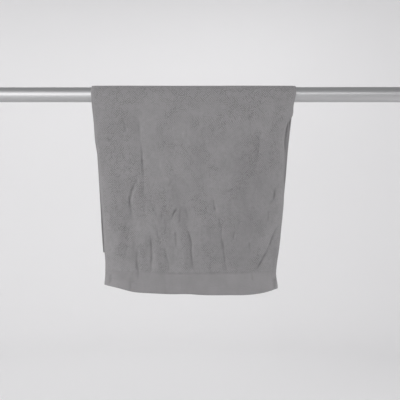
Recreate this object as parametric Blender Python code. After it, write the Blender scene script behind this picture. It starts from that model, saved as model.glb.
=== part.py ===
"""Bath towel folded over a round steel handrail, as it hangs there.

Metres, +Z up. The rail runs along +X and the origin is the centre of its left end face.
The towel is one cloth: a long front drop on the -Y side, a half turn over the rail and a
shorter back drop on the +Y side. Both ends have a flat woven band with a turned hem.
"""

import math
from collections import namedtuple

import bmesh
import bpy
import numpy as np

# Rail
RAIL_DIAMETER = 0.0424
RAIL_LENGTH = 1.2
RAIL_SIDES = 64
RAIL_END_BEVEL = 0.001
RAIL_BEVEL_STEPS = 2
RIM_ANGLE = math.radians(60)
RAIL_GAP = 0.0003

# Cloth thickness: looped pile, flat band, turned hem, and the woven strip along each side
PILE_THICKNESS = 0.0024
BAND_THICKNESS = 0.0014
HEM_THICKNESS = 0.0026
HEM_EDGE_THICKNESS = 0.0014
SELVEDGE_THICKNESS = 0.0017
SELVEDGE_WIDTH = 0.007
HEM_DEPTH = 0.024
STEP_WIDTH = 0.002

# Steps of the cloth's mesh across the towel, down each drop and over the rail
SPANS_ACROSS = 38
FRONT_PILE_SPANS = 24
BACK_PILE_SPANS = 11
BAND_SPANS = 2
HEM_SPANS = 2
RAIL_SPANS = 12

# How far in from the sides the edges and the lower corners turn
EDGE_REACH = 0.050
CORNER_REACH = 0.095

# The folds keep this share of their height on the band, and lose the rest just above it
BAND_CALM = 0.45
BAND_CALM_REACH = 0.016

# The cloth's slight lift off the rail, as waves across the towel that fade out down each drop
RIPPLE_HEIGHT = 0.0006
RIPPLE_FADE = 0.080
Wave = namedtuple("Wave", "share count start")
RIPPLE_WAVES = (
    Wave(0.5, 3.0, 0.4),
    Wave(0.3, 7.0, 1.9),
    Wave(0.2, 11.0, 5.1),
)

# One row a level, from the rail's axis down. left and right are the edges' X. bow is how far
# the middle stands out from the rail's face, turn_left and turn_right how far the edges turn in,
# or out where they are below zero.
Section = namedtuple("Section", "fall left right bow turn_left turn_right")
FRONT_SECTIONS = (
    Section(0.000, 0.2980, 0.8665, 0.0000, 0.000, 0.000),
    Section(0.032, 0.3002, 0.8595, 0.0002, 0.000, 0.000),
    Section(0.066, 0.3036, 0.8545, 0.0008, 0.001, 0.001),
    Section(0.079, 0.3050, 0.8452, 0.0012, 0.002, 0.003),
    Section(0.096, 0.3062, 0.8390, 0.0016, 0.002, 0.004),
    Section(0.128, 0.3084, 0.8337, 0.0025, 0.004, 0.005),
    Section(0.175, 0.3154, 0.8362, 0.0040, 0.006, 0.006),
    Section(0.240, 0.3199, 0.8330, 0.0055, 0.009, 0.007),
    Section(0.300, 0.3248, 0.8328, 0.0070, 0.012, 0.008),
    Section(0.360, 0.3294, 0.8275, 0.0080, 0.015, 0.009),
    Section(0.430, 0.3330, 0.8202, 0.0085, 0.017, 0.010),
    Section(0.475, 0.3361, 0.8138, 0.0085, 0.018, 0.011),
    Section(0.495, 0.3357, 0.8118, 0.0085, 0.017, 0.011),
    Section(0.535, 0.3312, 0.8170, 0.0080, 0.012, 0.009),
)
BACK_SECTIONS = (
    Section(0.000, 0.2980, 0.8665, 0.0000, 0.000, 0.000),
    Section(0.070, 0.3030, 0.8586, 0.0015, 0.001, -0.006),
    Section(0.150, 0.3085, 0.8500, 0.0035, 0.003, -0.009),
    Section(0.230, 0.3140, 0.8434, 0.0055, 0.005, -0.010),
    Section(0.320, 0.3195, 0.8345, 0.0070, 0.006, -0.008),
    Section(0.400, 0.3240, 0.8255, 0.0075, 0.006, -0.004),
    Section(0.470, 0.3305, 0.8168, 0.0075, 0.004, 0.000),
)

# Lines across a drop, as the share of the width from the left and the fall below the rail's axis
LinePoint = namedtuple("LinePoint", "share fall")
FRONT_BAND_LINE = (
    LinePoint(0.00, 0.492),
    LinePoint(0.15, 0.494),
    LinePoint(0.45, 0.497),
    LinePoint(0.75, 0.496),
    LinePoint(1.00, 0.495),
)
FRONT_HEM_LINE = (
    LinePoint(0.00, 0.533),
    LinePoint(0.08, 0.539),
    LinePoint(0.17, 0.547),
    LinePoint(0.28, 0.551),
    LinePoint(0.49, 0.552),
    LinePoint(0.55, 0.556),
    LinePoint(0.72, 0.557),
    LinePoint(0.84, 0.556),
    LinePoint(0.92, 0.550),
    LinePoint(1.00, 0.542),
)
BACK_BAND_LINE = (
    LinePoint(0.00, 0.391),
    LinePoint(0.50, 0.417),
    LinePoint(1.00, 0.416),
)
BACK_HEM_LINE = (
    LinePoint(0.00, 0.442),
    LinePoint(0.12, 0.456),
    LinePoint(0.50, 0.475),
    LinePoint(0.88, 0.476),
    LinePoint(1.00, 0.470),
)

# How far each lower corner turns in below the band's upper edge: left, then right
FRONT_CORNERS = (0.022, 0.012)
BACK_CORNERS = (0.006, 0.008)

# One row a fold: its height (a trough is below zero), its half width, and its route down the
# drop as X and fall
Fold = namedtuple("Fold", "height half_width route")
FRONT_FOLDS = (
    Fold(-0.0028, 0.012, ((0.428, 0.070), (0.432, 0.148), (0.440, 0.200), (0.441, 0.270))),
    Fold(-0.0035, 0.012, ((0.420, 0.225), (0.401, 0.295), (0.406, 0.345), (0.393, 0.385), (0.389, 0.430))),
    Fold(0.0028, 0.017, ((0.366, 0.190), (0.370, 0.300), (0.372, 0.430))),
    Fold(0.0028, 0.015, ((0.428, 0.330), (0.440, 0.400), (0.442, 0.480))),
    Fold(-0.0028, 0.012, ((0.462, 0.380), (0.464, 0.490))),
    Fold(-0.0021, 0.011, ((0.420, 0.415), (0.422, 0.515))),
    Fold(-0.0029, 0.012, ((0.482, 0.350), (0.492, 0.420), (0.517, 0.492))),
    Fold(0.0035, 0.016, ((0.500, 0.140), (0.514, 0.200), (0.515, 0.290))),
    Fold(-0.0021, 0.013, ((0.522, 0.355), (0.518, 0.325), (0.535, 0.302), (0.556, 0.308), (0.570, 0.345))),
    Fold(0.0036, 0.014, ((0.548, 0.360), (0.548, 0.430), (0.545, 0.492))),
    Fold(-0.0052, 0.013, ((0.566, 0.378), (0.576, 0.415), (0.577, 0.505))),
    Fold(0.0029, 0.018, ((0.575, 0.090), (0.572, 0.190), (0.590, 0.280))),
    Fold(0.0031, 0.016, ((0.610, 0.350), (0.615, 0.490))),
    Fold(-0.0038, 0.013, ((0.632, 0.290), (0.652, 0.350), (0.657, 0.415), (0.672, 0.500))),
    Fold(0.0029, 0.017, ((0.690, 0.340), (0.705, 0.420), (0.712, 0.500))),
    Fold(-0.0031, 0.014, ((0.738, 0.055), (0.760, 0.115), (0.758, 0.190), (0.735, 0.260), (0.725, 0.330))),
    Fold(0.0028, 0.017, ((0.700, 0.090), (0.700, 0.180), (0.672, 0.250))),
    Fold(-0.0034, 0.013, ((0.812, 0.260), (0.790, 0.310), (0.778, 0.375), (0.760, 0.440))),
    Fold(0.0038, 0.014, ((0.806, 0.345), (0.785, 0.395), (0.760, 0.450))),
    Fold(-0.0052, 0.012, ((0.818, 0.372), (0.798, 0.408), (0.776, 0.455), (0.752, 0.492))),
    Fold(0.0031, 0.015, ((0.795, 0.105), (0.800, 0.175), (0.800, 0.230))),
    Fold(-0.0028, 0.010, ((0.822, 0.071), (0.860, 0.069))),
)
BACK_FOLDS = (
    Fold(-0.0032, 0.020, ((0.390, 0.140), (0.395, 0.290), (0.402, 0.410))),
    Fold(0.0032, 0.022, ((0.450, 0.100), (0.452, 0.260), (0.448, 0.430))),
    Fold(-0.0040, 0.019, ((0.515, 0.200), (0.508, 0.320), (0.512, 0.450))),
    Fold(0.0036, 0.022, ((0.588, 0.120), (0.580, 0.280), (0.584, 0.440))),
    Fold(-0.0036, 0.020, ((0.655, 0.170), (0.648, 0.300), (0.655, 0.440))),
    Fold(0.0036, 0.020, ((0.720, 0.130), (0.708, 0.290), (0.716, 0.430))),
    Fold(-0.0036, 0.018, ((0.782, 0.210), (0.770, 0.330), (0.775, 0.440))),
)

# Finishes, as linear colour
TOWEL_COLOUR = (0.25, 0.245, 0.25, 1.0)
TOWEL_ROUGHNESS = 0.95
STEEL_COLOUR = (0.62, 0.62, 0.63, 1.0)
STEEL_ROUGHNESS = 0.28

HALF_TURN = math.pi
RAIL_RADIUS = RAIL_DIAMETER / 2
# The cloth's inner face is made of chords over the rail, so its corners stand a little further out.
CLOTH_RADIUS = (RAIL_RADIUS + RAIL_GAP) / math.cos(HALF_TURN / RAIL_SPANS / 2) + PILE_THICKNESS / 2


def clear_scene():
    """Removes every object that the file opened with."""
    for obj in list(bpy.data.objects):
        bpy.data.objects.remove(obj, do_unlink=True)


def make_material(name, colour, roughness, metallic):
    """A plain Principled finish."""
    material = bpy.data.materials.new(name)
    material.use_nodes = True
    shader = material.node_tree.nodes["Principled BSDF"]
    shader.inputs["Base Color"].default_value = colour
    shader.inputs["Roughness"].default_value = roughness
    shader.inputs["Metallic"].default_value = metallic
    return material


def add_object(name, mesh, material, parent):
    """Links a mesh to the scene under its parent, with one material."""
    mesh.materials.append(material)
    obj = bpy.data.objects.new(name, mesh)
    bpy.context.collection.objects.link(obj)
    obj.parent = parent
    return obj


def smooth_curve(stations, values, at):
    """A smooth curve through the values at the stations, read at the given places."""
    stations = np.asarray(stations, float)
    values = np.asarray(values, float)
    slopes = np.gradient(values, stations)
    at = np.clip(at, stations[0], stations[-1])
    low = np.clip(np.searchsorted(stations, at, side="right") - 1, 0, len(stations) - 2)
    width = stations[low + 1] - stations[low]
    step = (at - stations[low]) / width
    rest = 1 - step
    start = values[low] * (1 + 2 * step) * rest**2 + slopes[low] * width * step * rest**2
    end = values[low + 1] * (1 + 2 * rest) * step**2 - slopes[low + 1] * width * rest * step**2
    return start + end


def read_sections(sections, column, fall):
    """One column of a table of sections, at the given falls."""
    return smooth_curve([row.fall for row in sections], [getattr(row, column) for row in sections], fall)


def read_line(line, share):
    """The fall of a line across a drop, at the given shares of the width."""
    return smooth_curve([point.share for point in line], [point.fall for point in line], share)


def distance_to_route(x, fall, route):
    """How far each point of a drop lies from a fold's route."""
    nearest = np.full(np.shape(x), np.inf)
    for (start_x, start_fall), (end_x, end_fall) in zip(route, route[1:]):
        run_x = end_x - start_x
        run_fall = end_fall - start_fall
        along = ((x - start_x) * run_x + (fall - start_fall) * run_fall) / (run_x**2 + run_fall**2)
        along = np.clip(along, 0, 1)
        away = np.hypot(x - start_x - along * run_x, fall - start_fall - along * run_fall)
        nearest = np.minimum(nearest, away)
    return nearest


def fold_relief(folds, x, fall):
    """The height of all folds together at each point of a drop."""
    relief = np.zeros(np.shape(x))
    for fold in folds:
        away = distance_to_route(x, fall, fold.route)
        relief += fold.height * np.exp(-((away / fold.half_width) ** 2))
    return relief


def rail_ripple(share):
    """How far the cloth lifts off the rail, across the towel."""
    waves = sum(wave.share * np.sin(wave.count * share + wave.start) for wave in RIPPLE_WAVES)
    return RIPPLE_HEIGHT * (1 + waves)


def reach_weight(distance, reach):
    """1 at an edge, falling smoothly to 0 at the given reach from it."""
    return np.clip(1 - distance / reach, 0, 1) ** 2


class Drop:
    """One hanging side of the towel, as the distance that it stands out from the rail's axis."""

    def __init__(self, sections, band_line, hem_line, corners, folds, pile_spans):
        self.sections = sections
        self.band_line = band_line
        self.hem_line = hem_line
        self.corners = corners
        self.folds = folds
        self.pile_spans = pile_spans

    def lines(self, share):
        """The falls of the rail, the band's edge and its step, the hem's seam and its step, and the hem."""
        band = read_line(self.band_line, share)
        hem = read_line(self.hem_line, share)
        seam = hem - HEM_DEPTH
        return [0 * band, band, band + STEP_WIDTH, seam, seam + STEP_WIDTH, hem]

    def rows(self):
        """Each row from the rail down: the line above, the share of the way to the next, the thickness."""
        stretches = (
            (self.pile_spans, PILE_THICKNESS),
            (1, BAND_THICKNESS),
            (BAND_SPANS, BAND_THICKNESS),
            (1, HEM_THICKNESS),
            (HEM_SPANS, HEM_THICKNESS),
        )
        rows = []
        for line, (spans, thickness) in enumerate(stretches):
            rows += [(line, (step + 1) / spans, thickness) for step in range(spans)]
        rows[-1] = (*rows[-1][:2], HEM_EDGE_THICKNESS)
        return rows

    def row_points(self, line, way, share):
        """X, distance from the rail's axis, and fall along one row."""
        lines = self.lines(share)
        fall = lines[line] + (lines[line + 1] - lines[line]) * way
        band, hem = lines[1], lines[-1]
        left = read_sections(self.sections, "left", fall)
        right = read_sections(self.sections, "right", fall)
        x = left + (right - left) * share
        in_band = np.clip((fall - band) / (hem - band), 0, 1)
        calm = np.clip((fall - band) / BAND_CALM_REACH + 1, 0, 1)
        out = CLOTH_RADIUS + rail_ripple(share) * np.clip(1 - fall / RIPPLE_FADE, 0, 1)
        out = out + fold_relief(self.folds, x, fall) * (1 - (1 - BAND_CALM) * calm)
        out = out + read_sections(self.sections, "bow", fall) * (1 - (2 * share - 1) ** 2)
        out = out - read_sections(self.sections, "turn_left", fall) * reach_weight(x - left, EDGE_REACH)
        out = out - read_sections(self.sections, "turn_right", fall) * reach_weight(right - x, EDGE_REACH)
        out = out - self.corners[0] * reach_weight(x - left, CORNER_REACH) * in_band
        out = out - self.corners[1] * reach_weight(right - x, CORNER_REACH) * in_band
        return x, out, fall


FRONT = Drop(FRONT_SECTIONS, FRONT_BAND_LINE, FRONT_HEM_LINE, FRONT_CORNERS, FRONT_FOLDS, FRONT_PILE_SPANS)
BACK = Drop(BACK_SECTIONS, BACK_BAND_LINE, BACK_HEM_LINE, BACK_CORNERS, BACK_FOLDS, BACK_PILE_SPANS)


def shares_across():
    """The mesh's columns, as shares of the width: a narrow one for each selvedge and even ones between."""
    width = FRONT_SECTIONS[0].right - FRONT_SECTIONS[0].left
    selvedge = SELVEDGE_WIDTH / width
    inner = np.linspace(selvedge, 1 - selvedge, SPANS_ACROSS - 1)
    return np.concatenate([[0.0], inner, [1.0]])


def drop_rows(drop, share, side):
    """The rows of one drop as points, from the rail down. side is -1 in front and 1 behind."""
    rows = []
    for line, way, thickness in drop.rows():
        x, out, fall = drop.row_points(line, way, share)
        rows.append((np.stack([x, side * out, -fall], axis=1), thickness))
    return rows


def rail_rows(share):
    """The rows over the rail as points, from the front to the back."""
    top = FRONT_SECTIONS[0]
    x = top.left + (top.right - top.left) * share
    radius = CLOTH_RADIUS + rail_ripple(share)
    rows = []
    for step in range(RAIL_SPANS + 1):
        angle = HALF_TURN * step / RAIL_SPANS
        points = np.stack([x, -radius * math.cos(angle), radius * math.sin(angle)], axis=1)
        rows.append((points, PILE_THICKNESS))
    return rows


def build_towel(parent):
    """The towel: one sheet along its middle surface, thickened by its own weights."""
    share = shares_across()
    rows = drop_rows(FRONT, share, -1)[::-1] + rail_rows(share) + drop_rows(BACK, share, 1)
    mesh = bpy.data.meshes.new("towel")
    shape = bmesh.new()
    grid = [[shape.verts.new(point) for point in points] for points, _ in rows]
    for lower, upper in zip(grid, grid[1:]):
        for column in range(len(share) - 1):
            shape.faces.new((lower[column], lower[column + 1], upper[column + 1], upper[column]))
    shape.to_mesh(mesh)
    shape.free()
    towel = add_object("towel", mesh, make_material("grey_terry", TOWEL_COLOUR, TOWEL_ROUGHNESS, 0.0), parent)
    thicken(towel, [thickness for _, thickness in rows], len(share))
    return towel


def thicken(towel, row_thickness, columns):
    """Gives the sheet its thickness, row by row, with a thinner strip along each side."""
    group = towel.vertex_groups.new(name="thickness")
    for row, thickness in enumerate(row_thickness):
        for column in range(columns):
            on_edge = column in (0, columns - 1)
            wanted = min(thickness, SELVEDGE_THICKNESS) if on_edge else thickness
            group.add([row * columns + column], wanted / HEM_THICKNESS, "REPLACE")
    solidify = towel.modifiers.new("cloth", "SOLIDIFY")
    solidify.thickness = HEM_THICKNESS
    solidify.offset = 0.0
    solidify.vertex_group = group.name
    solidify.use_even_offset = False


def build_rail(parent):
    """The handrail: a plain round bar with closed flat ends and eased rims."""
    mesh = bpy.data.meshes.new("rail")
    shape = bmesh.new()
    bmesh.ops.create_cone(
        shape, cap_ends=True, segments=RAIL_SIDES, radius1=RAIL_RADIUS, radius2=RAIL_RADIUS, depth=RAIL_LENGTH
    )
    shape.to_mesh(mesh)
    shape.free()
    rail = add_object("rail", mesh, make_material("satin_steel", STEEL_COLOUR, STEEL_ROUGHNESS, 1.0), parent)
    rail.rotation_euler = (0.0, math.pi / 2, 0.0)
    rail.location = (RAIL_LENGTH / 2, 0.0, 0.0)
    bevel = rail.modifiers.new("eased_rims", "BEVEL")
    bevel.width = RAIL_END_BEVEL
    bevel.segments = RAIL_BEVEL_STEPS
    bevel.limit_method = "ANGLE"
    bevel.angle_limit = RIM_ANGLE
    mesh.shade_smooth()
    mesh.set_sharp_from_angle(angle=RIM_ANGLE)
    return rail


def main():
    """Builds the rail and the towel under one empty at the origin."""
    clear_scene()
    frame = bpy.data.objects.new("frame", None)
    bpy.context.collection.objects.link(frame)
    build_rail(frame)
    towel = build_towel(frame)
    towel.data.shade_smooth()


main()
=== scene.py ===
"""The looks of a bath towel that hangs folded over a steel handrail.

Metres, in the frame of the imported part: the rail runs along +X from the origin, the towel's long
front drop hangs at -Y and its short back drop at +Y. Falls are measured down from the rail's axis.
"""

import logging
import math
from collections.abc import Iterable
from dataclasses import dataclass, field
from enum import Enum, IntEnum
from typing import NamedTuple

import bmesh
import bpy
import numpy as np
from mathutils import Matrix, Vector


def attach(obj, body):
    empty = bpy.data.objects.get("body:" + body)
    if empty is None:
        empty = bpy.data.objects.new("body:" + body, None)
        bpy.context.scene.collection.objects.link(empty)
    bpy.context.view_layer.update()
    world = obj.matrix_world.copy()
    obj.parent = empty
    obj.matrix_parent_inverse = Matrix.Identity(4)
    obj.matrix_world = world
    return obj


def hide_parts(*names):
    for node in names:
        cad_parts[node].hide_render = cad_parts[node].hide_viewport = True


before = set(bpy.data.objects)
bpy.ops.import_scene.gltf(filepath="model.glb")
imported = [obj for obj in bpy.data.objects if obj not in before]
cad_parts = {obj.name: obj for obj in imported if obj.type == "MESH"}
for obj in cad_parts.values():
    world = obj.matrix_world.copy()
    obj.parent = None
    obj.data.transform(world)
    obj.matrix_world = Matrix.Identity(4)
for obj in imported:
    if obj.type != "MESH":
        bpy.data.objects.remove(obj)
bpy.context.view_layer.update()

LOG = logging.getLogger("towel")
BODY = "root"
QUARTER_TURN = math.pi / 2
HALF_TURN = math.pi
FULL_TURN = 2 * math.pi
SHARP_ANGLE = math.radians(40)

# Sizes shared by the rail and the cloth
RAIL_LENGTH = 1.2
RAIL_RADIUS = 0.0212
RAIL_GAP = 0.0003
PUCKER_GAP = 0.0002
CLOTH_WIDTH = 0.57
CLOTH_LENGTH = 1.10
PILE_THICKNESS = 0.0024
CLOTH_RADIUS = RAIL_RADIUS + RAIL_GAP + PILE_THICKNESS / 2 + PUCKER_GAP

# How the thin crinkles and the fine creases come and go
CRINKLE_SHARPNESS = 3
CRINKLE_COVER = 0.35
# How much painted shade the thin crinkles add to the painted shade in the creases
CRINKLE_SHADE = 0.38
PATCH_WIDTH = 3
CREASE_TAPER = 6
CREASE_COVER = 0.85
CREASE_VARIETY = 0.45
CREASE_CELL = (0.012, 0.019)
CREASE_SEED = 67
WANDER = 0.0022
WANDER_CELL = (0.011, 0.013)
WANDER_SEED = 61
LATTICE_MARGIN = 4

# The number of the line above a drop's hem, with the rail as 0
HEM_LINE = 4

Colour = tuple[float, float, float, float]
Place = tuple[float, float, float]
Route = tuple[tuple[float, float], ...]
Socket = bpy.types.NodeSocket


class Side(IntEnum):
    """The side of the rail that a drop hangs on, as the sign of its Y."""

    FRONT = -1
    BACK = 1


class Weave(IntEnum):
    """How a stretch of the cloth is woven, as the value that the cloth's finish reads."""

    PILE = 0
    FLAT = 1
    HEM = 2


class Slot(Enum):
    """The record's material slots."""

    CLOTH = "terry_cloth"
    RAIL = "rail_steel"


class Section(NamedTuple):
    """One level of a drop: its edges' X, how far its middle stands out and its edges turn in."""

    fall: float
    left: float
    right: float
    bow: float
    turn_left: float
    turn_right: float


class LinePoint(NamedTuple):
    """One point of a line across a drop: its share of the width from the left, and its fall."""

    share: float
    fall: float


class Fold(NamedTuple):
    """A fold, a crease or a mark of the pile, along a route of points as X and fall.

    Its height is in metres, below zero in a trough. A mark's height is its strength from 0 to 1,
    whether it marks the rough nap of the pile or a patch of painted shade.
    """

    height: float
    half_width: float
    route: Route


class Wave(NamedTuple):
    """One wave of the cloth's lift off the rail."""

    share: float
    count: float
    start: float


class Pucker(NamedTuple):
    """One size of small uneven puckers: height, cells, growth down the drop and seed."""

    height: float
    across: float
    along: float
    growth: float
    seed: int


class Crinkle(NamedTuple):
    """One size of thin crinkles that come in patches: depth, cells, growth and seeds."""

    depth: float
    across: float
    along: float
    growth: float
    seed: int
    patch_seed: int


class Lamp(NamedTuple):
    """One soft light: its place, its aim, its width and height, and its power in watts."""

    name: str
    place: Place
    aim: Place
    width: float
    height: float
    power: float


class Station(NamedTuple):
    """Where one row lies on its drop, column by column, and how much of the folds reaches it."""

    share: np.ndarray
    x: np.ndarray
    fall: np.ndarray
    left: np.ndarray
    right: np.ndarray
    depth: np.ndarray
    in_band: np.ndarray
    calm: np.ndarray


class Row(NamedTuple):
    """One row of the sheet: the line above it, its way to the next line, thickness and weave."""

    line: int
    way: float
    thickness: float
    weave: Weave


# The edges of each drop and how far it stands out, level by level
FRONT_SECTIONS = (
    Section(0.000, 0.2980, 0.8665, 0.0000, 0.000, 0.000),
    Section(0.032, 0.3002, 0.8595, 0.0002, 0.000, 0.000),
    Section(0.066, 0.3036, 0.8545, 0.0008, 0.001, 0.001),
    Section(0.079, 0.3050, 0.8452, 0.0012, 0.002, 0.003),
    Section(0.096, 0.3062, 0.8390, 0.0016, 0.002, 0.004),
    Section(0.128, 0.3084, 0.8337, 0.0025, 0.004, 0.005),
    Section(0.175, 0.3154, 0.8362, 0.0040, 0.006, 0.006),
    Section(0.240, 0.3199, 0.8330, 0.0055, 0.009, 0.007),
    Section(0.300, 0.3248, 0.8328, 0.0070, 0.012, 0.008),
    Section(0.360, 0.3294, 0.8275, 0.0080, 0.015, 0.009),
    Section(0.430, 0.3330, 0.8202, 0.0085, 0.017, 0.010),
    Section(0.475, 0.3361, 0.8138, 0.0085, 0.018, 0.011),
    Section(0.495, 0.3357, 0.8118, 0.0085, 0.017, 0.011),
    Section(0.535, 0.3312, 0.8170, 0.0080, 0.012, 0.009),
)
BACK_SECTIONS = (
    Section(0.000, 0.2980, 0.8665, 0.0000, 0.000, 0.000),
    Section(0.070, 0.3030, 0.8586, 0.0015, 0.001, -0.006),
    Section(0.150, 0.3085, 0.8500, 0.0035, 0.003, -0.009),
    Section(0.230, 0.3140, 0.8434, 0.0055, 0.005, -0.010),
    Section(0.320, 0.3195, 0.8345, 0.0070, 0.006, -0.008),
    Section(0.400, 0.3240, 0.8255, 0.0075, 0.006, -0.004),
    Section(0.470, 0.3305, 0.8168, 0.0075, 0.004, 0.000),
)

# The upper edge of the flat band and the hem, across each drop
FRONT_BAND_LINE = (
    LinePoint(0.00, 0.492),
    LinePoint(0.15, 0.494),
    LinePoint(0.45, 0.497),
    LinePoint(0.75, 0.496),
    LinePoint(1.00, 0.495),
)
FRONT_HEM_LINE = (
    LinePoint(0.00, 0.533),
    LinePoint(0.08, 0.539),
    LinePoint(0.17, 0.549),
    LinePoint(0.28, 0.553),
    LinePoint(0.38, 0.555),
    LinePoint(0.49, 0.555),
    LinePoint(0.55, 0.557),
    LinePoint(0.72, 0.558),
    LinePoint(0.84, 0.557),
    LinePoint(0.92, 0.552),
    LinePoint(1.00, 0.542),
)
BACK_BAND_LINE = (
    LinePoint(0.00, 0.391),
    LinePoint(0.50, 0.417),
    LinePoint(1.00, 0.416),
)
BACK_HEM_LINE = (
    LinePoint(0.00, 0.442),
    LinePoint(0.12, 0.456),
    LinePoint(0.50, 0.475),
    LinePoint(0.88, 0.476),
    LinePoint(1.00, 0.470),
)

# How far the lower corners curl in, left and right
FRONT_CORNERS = (0.022, 0.012)
BACK_CORNERS = (0.006, 0.008)

# The broad folds have the routes of the solid's folds and are shallower.
FRONT_FOLDS = (
    Fold(-0.0016, 0.012, ((0.428, 0.070), (0.432, 0.148), (0.440, 0.200), (0.441, 0.270))),
    Fold(
        -0.0020,
        0.012,
        ((0.420, 0.225), (0.401, 0.295), (0.406, 0.345), (0.393, 0.385), (0.389, 0.430)),
    ),
    Fold(0.0016, 0.017, ((0.366, 0.190), (0.370, 0.300), (0.372, 0.430))),
    Fold(0.0016, 0.015, ((0.428, 0.330), (0.440, 0.400), (0.442, 0.480))),
    Fold(-0.0016, 0.012, ((0.462, 0.380), (0.464, 0.490))),
    Fold(-0.0012, 0.011, ((0.420, 0.415), (0.422, 0.515))),
    Fold(-0.0017, 0.012, ((0.482, 0.350), (0.492, 0.420), (0.517, 0.492))),
    Fold(0.0020, 0.016, ((0.500, 0.140), (0.514, 0.200), (0.515, 0.290))),
    Fold(
        -0.0012,
        0.013,
        ((0.522, 0.355), (0.518, 0.325), (0.535, 0.302), (0.556, 0.308), (0.570, 0.345)),
    ),
    Fold(0.0021, 0.014, ((0.548, 0.360), (0.548, 0.430), (0.545, 0.492))),
    Fold(-0.0030, 0.013, ((0.566, 0.378), (0.576, 0.415), (0.577, 0.505))),
    Fold(0.0017, 0.018, ((0.575, 0.090), (0.572, 0.190), (0.590, 0.280))),
    Fold(0.0018, 0.016, ((0.610, 0.350), (0.615, 0.490))),
    Fold(-0.0022, 0.013, ((0.632, 0.290), (0.652, 0.350), (0.657, 0.415), (0.672, 0.500))),
    Fold(0.0017, 0.017, ((0.690, 0.340), (0.705, 0.420), (0.712, 0.500))),
    Fold(
        -0.0018,
        0.014,
        ((0.738, 0.055), (0.760, 0.115), (0.758, 0.190), (0.735, 0.260), (0.725, 0.330)),
    ),
    Fold(0.0016, 0.017, ((0.700, 0.090), (0.700, 0.180), (0.672, 0.250))),
    Fold(-0.0019, 0.013, ((0.812, 0.260), (0.790, 0.310), (0.778, 0.375), (0.760, 0.440))),
    Fold(0.0022, 0.014, ((0.806, 0.345), (0.785, 0.395), (0.760, 0.450))),
    Fold(-0.0030, 0.012, ((0.818, 0.372), (0.798, 0.408), (0.776, 0.455), (0.752, 0.492))),
    Fold(0.0018, 0.015, ((0.795, 0.105), (0.800, 0.175), (0.800, 0.230))),
    Fold(-0.0016, 0.010, ((0.822, 0.071), (0.860, 0.069))),
)
BACK_FOLDS = (
    Fold(-0.0026, 0.020, ((0.390, 0.140), (0.395, 0.290), (0.402, 0.410))),
    Fold(0.0026, 0.022, ((0.450, 0.100), (0.452, 0.260), (0.448, 0.430))),
    Fold(-0.0033, 0.019, ((0.515, 0.200), (0.508, 0.320), (0.512, 0.450))),
    Fold(0.0029, 0.022, ((0.588, 0.120), (0.580, 0.280), (0.584, 0.440))),
    Fold(-0.0029, 0.020, ((0.655, 0.170), (0.648, 0.300), (0.655, 0.440))),
    Fold(0.0029, 0.020, ((0.720, 0.130), (0.708, 0.290), (0.716, 0.430))),
    Fold(-0.0029, 0.018, ((0.782, 0.210), (0.770, 0.330), (0.775, 0.440))),
)

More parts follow.
